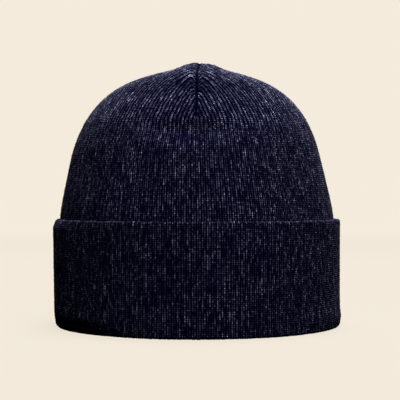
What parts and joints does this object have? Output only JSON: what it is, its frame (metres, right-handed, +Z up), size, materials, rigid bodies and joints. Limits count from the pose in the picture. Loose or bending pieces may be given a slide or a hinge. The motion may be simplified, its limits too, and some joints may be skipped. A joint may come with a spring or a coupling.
{
  "type": "knit beanie",
  "caption": "Double-layer rib-knit beanie with a deep turned-up cuff and a domed crown closed by darts.",
  "frame": {"origin": "on the surface that the hat stands on, at the middle of the head opening, so the lowest fold is at z = 0", "axes": "+Z up through the crown, -Y to the front of the hat, +X to the right as its front is looked at"},
  "size_m": [0.183, 0.2141, 0.167],
  "materials": {
    "rib_knit": "matte brushed acrylic rib knit",
    "lining_knit": "matte acrylic rib knit",
    "seam_yarn": "matte linked seam yarn",
    "label_satin": "woven satin, blank",
    "label_thread": "polyester thread"
  },
  "bodies": {
    "root": {"crown_shell": "rib_knit", "cuff_face": "rib_knit", "cuff_back": "rib_knit", "crown_lining": "lining_knit", "shell_front_dart_seam": "seam_yarn", "shell_right_dart_seam": "seam_yarn", "shell_back_dart_seam": "seam_yarn", "shell_left_dart_seam": "seam_yarn", "lining_front_right_dart_seam": "seam_yarn", "lining_back_right_dart_seam": "seam_yarn", "lining_back_left_dart_seam": "seam_yarn", "lining_front_left_dart_seam": "seam_yarn", "crown_tack": "seam_yarn", "care_label": "label_satin", "label_stitches": "label_thread"}
  },
  "joints": []
}
